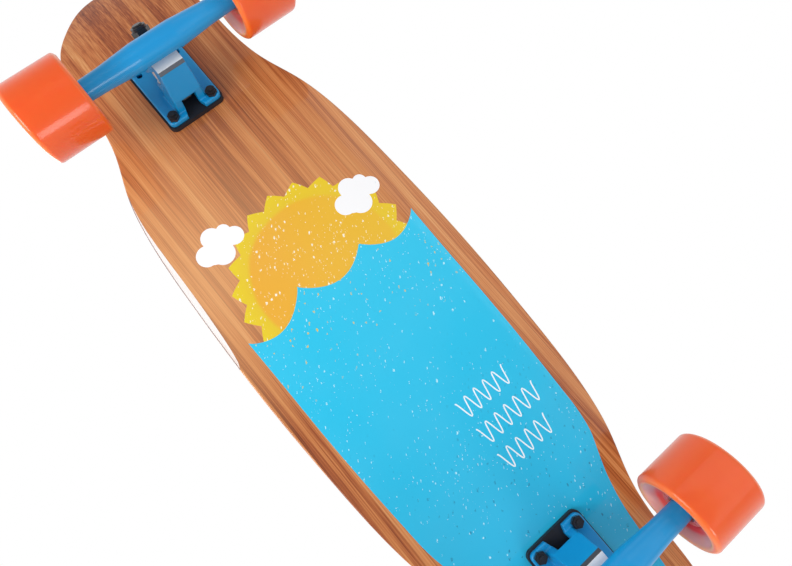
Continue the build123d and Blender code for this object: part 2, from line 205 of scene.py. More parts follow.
def srgb(red, green, blue):
    """A linear colour from 0..255 display values."""
    def linear(v):
        v /= 255
        return v / 12.92 if v <= 0.04045 else ((v + 0.055) / 1.055) ** 2.4
    return (linear(red), linear(green), linear(blue))


# ------------------------------------------------------------------ materials

def bamboo_material():
    """Lacquered strips of carbonised bamboo running along the board, with a painted sheen on part of them."""
    s = Shader("bamboo")
    x, y, _ = s.xyz()
    wander = s.noise(1.0, s.scaled((2.2, 9, 9)), detail=1)
    across = s.math("ADD", y, s.math("MULTIPLY", s.math("SUBTRACT", wander, 0.5), 0.004))
    strip = s.voronoi(135, feature="F1", output="Color", dimensions="1D", value=across)
    seam = s.voronoi(135, feature="DISTANCE_TO_EDGE", dimensions="1D", value=across)
    tone = s.xyz(strip)[0]
    second = s.xyz(strip)[1]
    streak = s.noise(1.0, s.scaled((2.4, 210, 60)), detail=6, roughness=0.68, distortion=0.2)
    fibre = s.noise(1.0, s.scaled((12, 1100, 400)), detail=3, roughness=0.65)
    broad = s.noise(1.0, s.scaled((3.4, 13, 6)), detail=2)
    shade = s.math("ADD", s.math("MULTIPLY", tone, 0.27), s.math("MULTIPLY", streak, 0.72))
    shade = s.math("ADD", shade, s.math("MULTIPLY", s.math("SUBTRACT", broad, 0.5), 0.3))
    shade = s.math("ADD", shade, s.math("MULTIPLY", s.math("SUBTRACT", fibre, 0.5), 0.75))
    colour = s.ramp(shade, [
        (0.2, srgb(104, 46, 18)),
        (0.37, srgb(158, 80, 36)),
        (0.52, srgb(196, 118, 62)),
        (0.68, srgb(214, 144, 84)),
        (0.9, srgb(232, 176, 116)),
    ])
    warm = s.mix(s.math("MULTIPLY", second, 0.22), colour, srgb(190, 96, 44))
    dark_line = s.ramp(seam, [(0.0, 1.0), (0.035, 0.35), (0.09, 0.0)])
    line_strength = s.math("MULTIPLY", s.xyz(dark_line)[0], s.math("MULTIPLY", second, 0.75))
    lined = s.mix(line_strength, warm, srgb(104, 46, 22))
    # Painted sheen: a paler patch left of the board's middle, where the lamps' light falls on the lacquer
    toward_middle = s.math("MULTIPLY", s.math("SUBTRACT", 0.29, x), 6.0, clamp=True)
    past_middle = s.math("MULTIPLY", s.math("ADD", x, 0.05), 7.0, clamp=True)
    toward_right = s.math("MULTIPLY", s.math("SUBTRACT", 0.05, y), 9.0, clamp=True)
    lit_zone = s.math("MULTIPLY", toward_middle, past_middle)
    painted_sheen = s.math("MULTIPLY", lit_zone, s.spread(toward_right, 0.12, 0.36))
    lined = s.mix(painted_sheen, lined, srgb(255, 200, 140))
    s.set(Base_Color=lined, Roughness=s.spread(fibre, 0.34, 0.5), Coat_Weight=0.75, Coat_Roughness=0.04,
          Coat_IOR=1.5, Specular_IOR_Level=0.25)
    s.bump(fibre, 0.08, 0.0003)
    return s.material


def ply_material():
    """The cut edge of the deck: stacked bamboo plies with thin glue lines under lacquer."""
    s = Shader("deck_plies")
    x, _, z = s.xyz()
    lift = s.math("SUBTRACT", s.math("ABSOLUTE", x), flat_half_length)
    lift = s.math("MAXIMUM", lift, 0.0)
    height = s.math("SUBTRACT", z, deck_bottom)
    height = s.math("SUBTRACT", height, s.math("DIVIDE", s.math("MULTIPLY", lift, lift), 2 * bend_radius))
    layer = s.math("FRACT", s.math("DIVIDE", height, ply_thickness))
    seam = s.ramp(layer, [(0.0, 1.0), (0.07, 0.0), (0.93, 0.0), (1.0, 1.0)])
    grain = s.noise(1.0, s.scaled((50, 50, 900)), detail=3)
    step = s.math("FLOOR", s.math("DIVIDE", height, ply_thickness))
    white = s.add("ShaderNodeTexWhiteNoise", noise_dimensions="1D")
    s.put(white.inputs["W"], step)
    tone = s.math("ADD", s.math("MULTIPLY", white.outputs["Value"], 0.45), s.math("MULTIPLY", grain, 0.5))
    colour = s.ramp(tone, [(0.2, srgb(176, 112, 66)), (0.5, srgb(206, 148, 94)), (0.8, srgb(226, 178, 122))])
    glued = s.mix(s.math("MULTIPLY", s.xyz(seam)[0], 0.9), colour, srgb(110, 60, 32))
    s.set(Base_Color=glued, Roughness=s.spread(grain, 0.3, 0.5), Coat_Weight=0.8, Coat_Roughness=0.1)
    s.bump(grain, 0.1, 0.0003)
    return s.material


def ink_material(name, colour, speck_layers, mottling):
    """Printed ink under lacquer: a base colour with worn specks, each layer of them given as
    (spacing, share kept, size, tint, area where it shows)."""
    s = Shader(name)
    base = colour(s)
    patch = s.noise(9, detail=3)
    grain = s.noise(1.0, s.scaled((60, 500, 100)), detail=2)
    base = s.mix(s.math("MULTIPLY", s.math("SUBTRACT", patch, 0.35), mottling, clamp=True), base,
                 srgb(255, 255, 255))
    for index, (spacing, share, size, tint, area) in enumerate(speck_layers):
        mask = s.flecks(spacing, share, size, 0.37 * (index + 1))
        if area is not None:
            mask = s.math("MULTIPLY", mask, area(s))
        base = s.mix(mask, base, tint)
    s.set(Base_Color=base, Roughness=s.spread(grain, 0.34, 0.44), Coat_Weight=0.8, Coat_Roughness=0.05,
          Specular_IOR_Level=0.2)
    s.bump(grain, 0.05, 0.0002)
    return s.material


sun_x = 0.052
sun_reach = 0.090


def sun_distance(s):
    """Distance along the deck from the sun's centre."""
    x, y, _ = s.xyz()
    away = s.math("SUBTRACT", x, sun_x)
    return s.math("SQRT", s.math("ADD", s.math("MULTIPLY", away, away), s.math("MULTIPLY", y, y)))


def sun_colour(s):
    """An orange disc in a yellow rim, all of it yellower towards the deck's left edge."""
    y = s.xyz()[1]
    toward_left = s.math("MULTIPLY", s.math("ADD", y, 0.035), 7.5, clamp=True)
    reach = s.math("DIVIDE", sun_distance(s), sun_reach)
    grain = s.noise(24, detail=2)
    reach = s.math("ADD", reach, s.math("MULTIPLY", s.math("SUBTRACT", grain, 0.5), 0.05))
    disc = s.ramp(reach, [
        (0.0, srgb(241, 180, 46)),
        (0.735, srgb(240, 176, 44)),
        (0.775, srgb(234, 200, 34)),
        (1.0, srgb(238, 214, 24)),
    ])
    return s.mix(s.math("MULTIPLY", toward_left, 0.75), disc, srgb(238, 200, 34))


def sea_colour(s):
    """Blue that deepens from the sun towards the tail."""
    x = s.xyz()[0]
    return s.ramp(s.math("MULTIPLY", s.math("SUBTRACT", 0.05, x), 2.4), [
        (0.0, srgb(40, 202, 240)),
        (0.5, srgb(26, 192, 234)),
        (1.0, srgb(16, 172, 218)),
    ])


def near_sun(s):
    x = s.xyz()[0]
    return s.ramp(s.math("MULTIPLY", s.math("SUBTRACT", x, -0.06), 9.5), [(0.1, 0.0), (0.6, 1.0)])


def near_tail(s):
    x = s.xyz()[0]
    return s.ramp(s.math("MULTIPLY", s.math("SUBTRACT", -0.05, x), 4.0), [(0.1, 0.05), (0.8, 1.0)])


def urethane_material(name, colour, deep, scatter, roughness, zones=False):
    """Cast translucent urethane. With zones, a wheel's lips and hollow sides are paler than its tread as
    painted light, and its hollow is dark red deep inside as painted shade.
    """
    s = Shader(name)
    swirl = s.noise(28, detail=3, distortion=0.6)
    scuff = s.noise(300, detail=4, roughness=0.7)
    tint = s.mix(swirl, colour, deep)
    if zones:
        x, y, z = s.xyz()
        along = s.math("SUBTRACT", s.math("ABSOLUTE", x), axle_x)
        up = s.math("SUBTRACT", z, wheel_centre.z)
        reach = s.math("SQRT", s.math("ADD", s.math("MULTIPLY", along, along), s.math("MULTIPLY", up, up)))
        reach = s.math("ADD", reach, s.math("MULTIPLY", s.math("SUBTRACT", swirl, 0.5), 0.002))
        # Painted light and shade on the hollow side: dark red in the deep recess, pinkish pale on the rings
        # around it
        side = s.ramp(s.math("MULTIPLY", reach, 25), [
            (0.44, srgb(222, 40, 30)),
            (0.52, srgb(228, 62, 44)),
            (0.58, srgb(214, 128, 122)),
            (0.70, srgb(232, 160, 150)),
            (0.745, srgb(250, 170, 120)),
            (0.79, srgb(250, 112, 44)),
        ])
        is_side = s.math("MULTIPLY", s.math("SUBTRACT", hollow_radius, reach), 600, clamp=True)
        off_middle = s.math("ABSOLUTE", s.math("SUBTRACT", s.math("ABSOLUTE", y), wheel_y))
        past_tread = s.math("SUBTRACT", off_middle, wheel_half_width - lip_width)
        # Painted highlight: paler lips at the edges of the tread
        lip_highlight = s.math("MULTIPLY", past_tread, 320, clamp=True)
        tint = s.mix(s.math("MULTIPLY", lip_highlight, 0.6), tint, srgb(255, 132, 46))
        tint = s.mix(is_side, tint, side)
    s.set(Base_Color=tint, Roughness=s.spread(scuff, roughness, roughness + 0.08),
          Subsurface_Weight=0.35, Subsurface_Radius=scatter, Subsurface_Scale=0.006,
          Coat_Weight=0.7, Coat_Roughness=0.13, Specular_IOR_Level=0.3)
    s.bump(swirl, 0.03, 0.0005)
    return s.material


def painted_material():
    """Blue powder coat on a sand casting: slight orange peel and gentle mottling."""
    s = Shader("blue_paint")
    peel = s.noise(420, detail=2)
    broad = s.noise(14, detail=3)
    colour = s.mix(broad, srgb(2, 136, 198), srgb(6, 158, 222))
    s.set(Base_Color=colour, Roughness=s.spread(peel, 0.32, 0.44), Coat_Weight=0.5, Coat_Roughness=0.12,
          Specular_IOR_Level=0.3)
    s.bump(s.math("ADD", peel, s.math("MULTIPLY", broad, 2.0)), 0.1, 0.0004)
    return s.material


def metal_material(name, colour, roughness, brushing, bump=0.05, metallic=1.0):
    """Bare metal with fine machining marks and small stains."""
    s = Shader(name)
    marks = s.noise(1.0, s.scaled(brushing), detail=4, roughness=0.7)
    stain = s.noise(90, detail=3)
    dim = tuple(v * 0.72 for v in colour)
    s.set(Base_Color=s.mix(s.math("MULTIPLY", stain, 0.5), colour, dim), Metallic=metallic,
          Roughness=s.spread(marks, roughness, roughness + 0.2))
    s.bump(marks, bump, 0.0002)
    return s.material


def dark_material(name, colour, lighter, roughness, scale, strength, coat=0.0):
    """Rubber, plastic or blackened steel: a dark base with fine texture and dusty wear."""
    s = Shader(name)
    fine = s.noise(scale, detail=4, roughness=0.65)
    wear = s.noise(scale * 0.11, detail=3)
    s.set(Base_Color=s.mix(s.math("MULTIPLY", wear, 0.6), colour, lighter),
          Roughness=s.spread(fine, roughness, roughness + 0.2), Coat_Weight=coat, Coat_Roughness=0.2)
    s.bump(fine, strength, 0.0004)
    return s.material


def grip_material():
    """Black grip tape: dense grit with a few bright grains."""
    s = Shader("grip")
    grit = s.voronoi(1500, output="Distance")
    sparkle = s.voronoi(1100, output="Color")
    bright = s.math("GREATER_THAN", s.xyz(sparkle)[0], 0.93)
    patch = s.noise(18, detail=3)
    base = s.mix(patch, srgb(24, 24, 26), srgb(38, 38, 41))
    s.set(Base_Color=s.mix(s.math("MULTIPLY", bright, 0.55), base, srgb(150, 150, 155)),
          Roughness=s.spread(grit, 0.65, 0.95))
    s.bump(grit, 0.6, 0.0006)
    return s.material


def edge_light_material(name, colour, deeper):
    """Painted light along the board's edge, with a few streaks of the grain showing through in a deeper
    colour: pale for the painted highlight, grey for the painted shade line outside it.
    """
    s = Shader(name)
    streaks = s.noise(1.0, s.scaled((9, 420, 60)), detail=4, roughness=0.6)
    shown = s.ramp(streaks, [(0.5, 0.0), (0.75, 1.0)])
    s.set(Base_Color=s.mix(s.xyz(shown)[0], colour, deeper), Roughness=s.spread(streaks, 0.2, 0.4),
          Coat_Weight=0.8, Coat_Roughness=0.08)
    s.bump(streaks, 0.06, 0.0002)
    return s.material


bamboo = bamboo_material()
plies = ply_material()
grip = grip_material()
pale_speck = srgb(186, 240, 252)
sun_ink = ink_material("sun_ink", sun_colour, [
    (0.0054, 0.28, 0.00092, srgb(255, 250, 226), None),
    (0.0029, 0.24, 0.00050, srgb(255, 246, 200), None),
], 0.06)
sea_ink = ink_material("sea_ink", sea_colour, [
    (0.0075, 0.14, 0.00088, pale_speck, None),
    (0.0034, 0.15, 0.00048, pale_speck, None),
    (0.0076, 0.42, 0.00095, srgb(226, 196, 60), near_sun),
    (0.0052, 0.22, 0.00085, srgb(30, 134, 176), near_tail),
], 0.06)
cloud_ink = ink_material(
    "cloud_ink",
    lambda s: s.mix(s.noise(30), srgb(254, 254, 254), srgb(255, 255, 255)),
    [(0.009, 0.1, 0.0007, srgb(210, 225, 232), None)],
    0.1,
)
# Painted highlight along the board's edge, and a grey painted shade line outside it
edge_highlight = edge_light_material("painted_edge_highlight", srgb(255, 249, 245), srgb(246, 214, 194))
edge_shade = edge_light_material("edge_shade", srgb(168, 150, 146), srgb(140, 118, 112))
line_ink = ink_material(
    "line_ink",
    lambda s: s.mix(s.noise(60), srgb(225, 246, 252), srgb(250, 254, 255)),
    [(0.006, 0.2, 0.0006, srgb(120, 210, 236), None)],
    0.1,
)
orange = urethane_material(
    "orange_urethane", srgb(240, 98, 22), srgb(236, 80, 14), (1.0, 0.25, 0.05), 0.3, zones=True)
core_orange = urethane_material("core_plastic", srgb(226, 70, 30), srgb(200, 46, 20), (1.0, 0.2, 0.05), 0.24)
cream = urethane_material("bushing_urethane", srgb(236, 232, 220), srgb(222, 216, 200), (1.0, 0.8, 0.6), 0.28)
blue = painted_material()
# Polished tower tip: a near-white, hardly metallic face as a painted highlight, and a dark bevel as a painted
# dark reflection
milled_highlight = metal_material("milled_highlight_aluminium", (0.95, 0.955, 0.96), 0.35, (60, 900, 60), metallic=0.02)
dark_reflection_metal = metal_material("dark_reflection_aluminium", (0.12, 0.13, 0.15), 0.3, (60, 900, 60))
steel = metal_material("zinc_steel", (0.66, 0.67, 0.69), 0.25, (300, 300, 300))
bearing = metal_material("bearing_steel", (0.74, 0.75, 0.76), 0.12, (200, 900, 200), 0.03)
axle_metal = metal_material("axle_steel", (0.56, 0.57, 0.6), 0.25, (900, 40, 900))
spacer_metal = metal_material("spacer_aluminium", (0.8, 0.81, 0.82), 0.25, (700, 60, 700))
shield_metal = metal_material("shield_steel", (0.7, 0.71, 0.73), 0.18, (300, 500, 300), 0.03)
black = dark_material("black_steel", srgb(14, 14, 18), srgb(40, 40, 46), 0.34, 900, 0.12, 0.25)
rubber = dark_material("riser_rubber", srgb(17, 19, 26), srgb(34, 38, 48), 0.5, 700, 0.15)
cup_rubber = dark_material("cup_urethane", srgb(22, 22, 26), srgb(46, 46, 52), 0.5, 600, 0.15)

slot_materials = {
    "deck_plies": plies, "bamboo": bamboo, "grip": grip, "riser_rubber": rubber, "blue_paint": blue,
    "black_steel": black, "zinc_steel": steel, "bushing_urethane": cream, "cup_urethane": cup_rubber,
    "axle_steel": axle_metal, "bearing_steel": bearing, "spacer_aluminium": spacer_metal,
    "orange_urethane": orange, "core_plastic": core_orange, "shield_steel": shield_metal,
}
for part in frame["record"]["subparts"]:
    mesh = nodes[part["node"]].data
    mesh.materials.clear()
    mesh.materials.append(slot_materials[part["material_slot"]])


# ------------------------------------------------------------------ piece helpers

def new_piece(name, mesh, material, body, replaced=(), smooth=True):
    """Links a mesh as a piece that rides on a body and stands for some CAD nodes."""
    for polygon in mesh.polygons:
        polygon.use_smooth = smooth
    mesh.materials.append(material)
    piece = bpy.data.objects.new(name, mesh)
    bpy.context.scene.collection.objects.link(piece)
    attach(piece, body)
    if replaced:
        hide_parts(*replaced)
    return piece


def mesh_from(name, points, faces):
    """A mesh from points and lists of their indices."""
    mesh = bpy.data.meshes.new(name)
    mesh.from_pydata([tuple(p) for p in points], [], faces)
    mesh.update()
    return mesh


def lathe(name, profile, centre, axis, segments):
    """A closed ring: a closed profile of (distance along the axis, radius) turned about the axis."""
    axis = Vector(axis).normalized()
    side = axis.orthogonal().normalized()
    third = axis.cross(side)
    centre = Vector(centre)
    points = []
    for i in range(segments):
        turn = 2 * math.pi * i / segments
        outward = side * math.cos(turn) + third * math.sin(turn)
        points += [centre + axis * along + outward * radius for along, radius in profile]
    count = len(profile)
    faces = []
    for i in range(segments):
        j = (i + 1) % segments
        for k in range(count):
            m = (k + 1) % count
            faces.append((i * count + k, i * count + m, j * count + m, j * count + k))
    mesh = mesh_from(name, points, faces)
    tidy_normals(mesh)
    return mesh


def tidy_normals(mesh):
    """Turns every face of a closed mesh outwards."""
    work = bmesh.new()
    work.from_mesh(mesh)
    bmesh.ops.recalc_face_normals(work, faces=work.faces)
    work.to_mesh(mesh)
    work.free()


def rounded(corners, steps=5):
    """A closed profile from (along, radius, rounding) corners, each rounded off by a short arc."""
    result = []
    count = len(corners)
    for i, (u, v, size) in enumerate(corners):
        here = Vector((u, v))
        if size <= 0:
            result.append((u, v))
            continue
        before = Vector(corners[i - 1][:2]) - here
        after = Vector(corners[(i + 1) % count][:2]) - here
        reach = min(size, before.length * 0.49, after.length * 0.49)
        start = here + before.normalized() * reach
        finish = here + after.normalized() * reach
        for k in range(steps + 1):
            t = k / steps
            point = start * (1 - t) ** 2 + here * 2 * t * (1 - t) + finish * t**2
            result.append((point.x, point.y))
    return result


def modified_copy(source, name, modifiers):
    """A new mesh from a CAD node with some modifiers applied."""
    copy = bpy.data.objects.new(name, source.data.copy())
    bpy.context.scene.collection.objects.link(copy)
    for kind, settings in modifiers:
        modifier = copy.modifiers.new(kind, kind)
        for key, value in settings.items():
            setattr(modifier, key, value)
    depsgraph = bpy.context.evaluated_depsgraph_get()
    depsgraph.update()
    mesh = bpy.data.meshes.new_from_object(copy.evaluated_get(depsgraph))
    bpy.data.objects.remove(copy)
    mesh.materials.clear()
    mesh.name = name
    return mesh


# ------------------------------------------------------------------ wheels

def tyre_profile():
    """The tyre's section: (distance outboard, radius, rounding) from the inboard side to the outboard."""
    w, r = wheel_half_width, wheel_radius
    return rounded([
        (-0.0174, 0.0165, 0.0),
        (-0.0190, 0.0197, 0.0012),
        (-w + 0.0030, 0.0270, 0.0025),
        (-w, 0.0293, 0.0012),
        (-w + 0.0001, 0.0320, 0.0012),
        (-w + 0.0022, r, 0.0022),
        (w - 0.0026, r, 0.0026),
        (w - 0.0001, 0.0322, 0.0014),
        (w, 0.0300, 0.0012),
        (w - 0.0030, 0.0280, 0.0025),
        (0.0090, 0.0197, 0.0012),
        (0.0074, 0.0165, 0.0),
    ])


for end, end_sign in ENDS:
    for side, side_sign in SIDES:
        node = f"{end}_{side}_tyre"
        centre = (end_sign * axle_x, side_sign * wheel_y, wheel_centre.z)
        mesh = lathe(node, tyre_profile(), centre, (0, side_sign, 0), 128)
        new_piece(f"{end}_{side}_wheel_tyre", mesh, orange, f"{end}_{side}_wheel", [node])

# ------------------------------------------------------------------ castings

# Rounds off the hard edges of the CAD castings
casting_steps = [
    ("REMESH", {"mode": "VOXEL", "voxel_size": 0.00055, "adaptivity": 0.0, "use_smooth_shade": True}),
    ("SMOOTH", {"factor": 0.5, "iterations": 4}),
    ("DECIMATE", {"ratio": 0.45}),
]
# The pivot tower is cut flat at this depth, for its machined face
tower_reach = 0.0623
for end, _ in ENDS:
    for part, body in (("baseplate", "deck"), ("hanger", f"{end}_truck")):
        node = f"{end}_{part}"
        mesh = modified_copy(nodes[node], f"{node}_casting", casting_steps)
        if part == "baseplate":
            for vertex in mesh.vertices:
                vertex.co.z = max(vertex.co.z, deck_bottom - tower_reach)
        new_piece(f"{node}_casting", mesh, blue, body, [node])


def turned(end_sign, x, y, z):
    """A place in a truck's own frame, in millimetres: x outboard of the axle, z up from the deck."""
    return Vector((end_sign * (axle_x + x / 1000), end_sign * y / 1000, deck_bottom + z / 1000))


# Machined face and its bevel on the pivot tower's tip: the face near-white as a painted highlight, the bevel
# dark as a painted dark reflection
tip_half_width = 12.3
tip_rounding = 0.0002
tip_strips = {
    "tower_face": (milled_highlight, [(-14.4, -62.0), (-14.4, -62.8), (-4.4, -62.8), (-4.4, -62.0)]),
    "tower_bevel": (dark_reflection_metal, [(-16.7, -59.8), (-14.45, -62.75), (-14.0, -62.2), (-16.1, -59.4)]),
}
for end, end_sign in ENDS:
    for strip, (material, outline) in tip_strips.items():
        points = [turned(end_sign, x, y, z) for y in (-tip_half_width, tip_half_width) for x, z in outline]
        faces = [(0, 1, 2, 3), (7, 6, 5, 4)]
        faces += [(i, (i + 1) % 4, 4 + (i + 1) % 4, 4 + i) for i in range(4)]
        mesh = mesh_from(f"{end}_{strip}", points, faces)
        tidy_normals(mesh)
        plate = new_piece(f"{end}_{strip}", mesh, material, "deck", smooth=False)
        bevel = plate.modifiers.new("edges", "BEVEL")
        bevel.width = tip_rounding
        bevel.segments = 2

# ------------------------------------------------------------------ bushings

kingpin_angle = math.radians(40)
ring_place = (14.0, -41.0)
kingpin_step = (math.sin(kingpin_angle), -math.cos(kingpin_angle))
bushing_bore = 0.005
barrel_radius = 0.0118
barrel_bulge = 0.0008
barrel_steps = 12


def on_kingpin(end_sign, distance):
    """A place on the kingpin's line, at a distance from the ring towards the road, in millimetres."""
    x, z = (place + step * distance for place, step in zip(ring_place, kingpin_step))
    return turned(end_sign, x, 0, z)


for end, end_sign in ENDS:
    for name, fixed_end, ring_end in (("bushing_board", -16.5, -3.0), ("bushing_road", 17.5, 3.0)):
        start, finish = on_kingpin(end_sign, fixed_end), on_kingpin(end_sign, ring_end)
        length = (finish - start).length
        corners = [(0, bushing_bore, 0)]
        for k in range(barrel_steps + 1):
            t = k / barrel_steps
            rounding = 0.0009 if k in (0, barrel_steps) else 0
            radius = barrel_radius + barrel_bulge * math.sin(math.pi * t) ** 0.6
            corners.append((t * length, radius, rounding))
        corners.append((length, bushing_bore, 0))
        node = f"{end}_{name}"
        mesh = lathe(node, rounded(corners, 4), start, finish - start, 64)
        piece = new_piece(f"{node}_urethane", mesh, cream, "deck", [node])
        piece.parent = None
        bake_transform(piece)

# ------------------------------------------------------------------ printed picture, and painted light at the board's edge

print_depth = 0.0003
# How far each print and each painted edge strip stands out from the veneer, so that a later one covers an
# earlier one
lifts = {"sun": 0.00005, "edge_highlight": 0.00006, "sea": 0.00008, "cloud": 0.00010, "painted_shade_line": 0.00010,
         "wave": 0.00012}


def printed_shape(name, rings, material, lift):
    """A thin closed plate on the underside. rings are rows of points from one edge to the other."""
    points, faces = [], []
    rows = len(rings)
    width = len(rings[0])
    for level in (-lift, print_depth):
        for row in rings:
            points += [(x, y, underside(x) + level) for x, y in row]

    def at(level, i, j):
        return level * rows * width + i * width + j

    for i in range(rows - 1):
        for j in range(width - 1):
            faces.append((at(0, i, j), at(0, i, j + 1), at(0, i + 1, j + 1), at(0, i + 1, j)))
            faces.append((at(1, i, j), at(1, i + 1, j), at(1, i + 1, j + 1), at(1, i, j + 1)))
    rim = [(0, j) for j in range(width)] + [(i, width - 1) for i in range(1, rows)]
    rim += [(rows - 1, j) for j in range(width - 2, -1, -1)] + [(i, 0) for i in range(rows - 2, 0, -1)]
    for k, (i, j) in enumerate(rim):
        m, n = rim[(k + 1) % len(rim)]
        faces.append((at(0, i, j), at(1, i, j), at(1, m, n), at(0, m, n)))
    mesh = mesh_from(name, points, faces)
    tidy_normals(mesh)
    return new_piece(name, mesh, material, "deck", smooth=False)


def smooth_through(points, value):
    """Height at a value of a smooth cubic curve through points in order."""
    last = len(points) - 1
    i = 0
    while value > points[i + 1][0] and i + 1 < last:
        i += 1
    (x0, y0), (x1, y1) = points[i], points[i + 1]
    before, after = points[max(i - 1, 0)], points[min(i + 2, last)]
    slope0 = (y1 - before[1]) / (x1 - before[0])
    slope1 = (after[1] - y0) / (after[0] - x0)
    span = x1 - x0
    t = (value - x0) / span
    return ((2 * t**3 - 3 * t**2 + 1) * y0 + (t**3 - 2 * t**2 + t) * span * slope0
            + (3 * t**2 - 2 * t**3) * y1 + (t**3 - t**2) * span * slope1)


# The sea's half width at distances along the board, and the points of its scalloped top
sea_edge = [
    (-0.404, 0.004), (-0.398, 0.026), (-0.376, 0.044), (-0.335, 0.054), (-0.300, 0.0583), (-0.267, 0.0625),
    (-0.241, 0.0692), (-0.222, 0.0768), (-0.205, 0.0838), (-0.185, 0.0876), (-0.160, 0.0893),
    (-0.110, 0.0919), (-0.060, 0.0934), (0.0, 0.0940), (0.048, 0.0948),
]
sea_start = sea_edge[0][0]
cusps = [(-0.0945, 0.0415), (-0.0315, 0.0545), (0.0355, 0.0515), (0.0945, 0.0470)]
scallop_depth = 0.26


def sea_top(y):
    """The sea's upper edge: scallops with their points towards the nose."""
    for (y0, x0), (y1, x1) in zip(cusps, cusps[1:]):
        if y <= y1 or y1 == cusps[-1][0]:
            t = (y - y0) / (y1 - y0)
            dip = max(0.0, math.sin(math.pi * t)) ** 0.8
            return x0 + (x1 - x0) * t - scallop_depth * (y1 - y0) * dip


steps_along, steps_across = 90, 120
sea_rows = []
for i in range(steps_along + 1):
    t = i / steps_along
    row = []
    for j in range(steps_across + 1):
        across = 2 * j / steps_across - 1
        top = sea_top(across * cusps[-1][0])
        x = sea_start + (top - sea_start) * t
        row.append((x, across * smooth_through(sea_edge, x)))
    sea_rows.append(row)
printed_shape("printed_sea", sea_rows, sea_ink, lifts["sea"])

sun_disc_radius = 0.0770
ray_length = 0.0095
rays = 21
rim_points = rays * 8
sun_rim = []
for k in range(rim_points):
    turn = 2 * math.pi * k / rim_points - math.pi
    spoke = abs(((turn * rays / (2 * math.pi)) % 1.0) - 0.5) * 2
    reach = sun_disc_radius + ray_length * spoke
    sun_rim.append((sun_x + reach * math.cos(turn), reach * math.sin(turn)))


def printed_fan(name, centre, rim, material, lift):
    """A flat closed plate bounded by a rim of points that a centre point sees."""
    count = len(rim)
    points = []
    for level in (-lift, print_depth):
        points.append((centre[0], centre[1], underside(centre[0]) + level))
        points += [(x, y, underside(x) + level) for x, y in rim]
    faces = []
    for k in range(count):
        m = (k + 1) % count
        faces.append((0, 1 + k, 1 + m))
        faces.append((count + 1, count + 2 + m, count + 2 + k))
        faces.append((1 + k, count + 2 + k, count + 2 + m, 1 + m))
    mesh = mesh_from(name, points, faces)
    tidy_normals(mesh)
    return new_piece(name, mesh, material, "deck", smooth=False)


printed_fan("printed_sun", (sun_x, 0), sun_rim, sun_ink, lifts["sun"])


cloud_points = 160


def cloud_rim(centre, puffs):
    """The outline of overlapping round puffs, seen from the cloud's middle."""
    rim = []
    for k in range(cloud_points):
        turn = 2 * math.pi * k / cloud_points
        direction = Vector((math.cos(turn), math.sin(turn)))
        best = 0.0
        for px, py, radius in puffs:
            offset = Vector((px, py))
            along = offset.dot(direction)
            gap = radius**2 - (offset.length_squared - along**2)
            if gap > 0:
                best = max(best, along + math.sqrt(gap))
        rim.append((centre[0] + best * direction.x, centre[1] + best * direction.y))
    return rim


cloud_size = 0.97
cloud_puffs = [
    (0.0105, -0.002, 0.0100), (0.0095, 0.0105, 0.0068), (0.0, 0.0160, 0.0090), (-0.001, -0.0150, 0.0102),
    (-0.0075, -0.002, 0.0112), (0.004, 0.004, 0.0100), (-0.004, -0.009, 0.0095),
]
puffs = [tuple(value * cloud_size for value in puff) for puff in cloud_puffs]
for name, centre in (("printed_cloud_a", (0.127, -0.0610)), ("printed_cloud_b", (0.088, 0.0645))):
    printed_fan(name, centre, cloud_rim(centre, puffs), cloud_ink, lifts["cloud"])


def ribbon(name, path, width, material, lift):
    """A stroke of even width along a path."""
    rows_of_two = []
    for k, point in enumerate(path):
        before, after = path[max(k - 1, 0)], path[min(k + 1, len(path) - 1)]
        along = Vector((after[0] - before[0], after[1] - before[1])).normalized()
        across = Vector((-along.y, along.x)) * (width / 2)
        rows_of_two.append([tuple(Vector(point) - across), tuple(Vector(point) + across)])
    return printed_shape(name, rows_of_two, material, lift)


# Three rows of plain wave strokes
wave_period, wave_height, wave_start, wave_steps = 0.0108, 0.0085, 0.008, 16
stroke_width = 0.0012
for row, (row_x, waves) in enumerate(((-0.121, 5), (-0.1485, 6), (-0.1755, 5))):
    path = []
    for k in range(waves * wave_steps + 1):
        y = wave_start + wave_period * k / wave_steps
        path.append((row_x + wave_height * math.cos(2 * math.pi * k / wave_steps), y))
    ribbon(f"printed_wave_{row}", path, stroke_width, line_ink, lifts["wave"])

# Painted highlight: a pale strip along the board's right-hand edge where light catches it, with a grey
# painted shade line outside: distances along the board and widths
highlight_widths = [
    (0.028, 0.0002), (0.034, 0.0024), (0.055, 0.0045), (0.087, 0.0055), (0.120, 0.0053), (0.156, 0.0037),
    (0.182, 0.0018), (0.214, 0.0003),
]
edge_inset = 0.0004
line_inset = 0.0002
line_width = 0.0007
strip_steps = 90
far_right = -0.05
veneer_mesh = nodes["bamboo_veneer"].data
outline_edges = []
for edge in veneer_mesh.edges:
    first, second = (veneer_mesh.vertices[index].co for index in edge.vertices)
    if max(first.y, second.y) < far_right and first.x != second.x:
        outline_edges.append((first, second) if first.x < second.x else (second, first))


def board_edge(x):
    """Where the board's right-hand outline lies at a distance along the board."""
    crossings = []
    for first, second in outline_edges:
        if first.x <= x <= second.x:
            crossings.append(first.y + (second.y - first.y) * (x - first.x) / (second.x - first.x))
    return min(crossings)


strip_rows, line_path = [], []
strip_start, strip_end = highlight_widths[0][0], highlight_widths[-1][0]
for k in range(strip_steps + 1):
    x = strip_start + (strip_end - strip_start) * k / strip_steps
    outer = board_edge(x) + edge_inset
    inner = outer + smooth_through(highlight_widths, x)
    strip_rows.append([(x, outer + (inner - outer) * j / 3) for j in range(4)])
    line_path.append((x, outer + line_inset))
printed_shape("painted_edge_highlight", strip_rows, edge_highlight, lifts["edge_highlight"])
ribbon("painted_shade_line", line_path, line_width, edge_shade, lifts["painted_shade_line"])

# ------------------------------------------------------------------ floor, light and camera

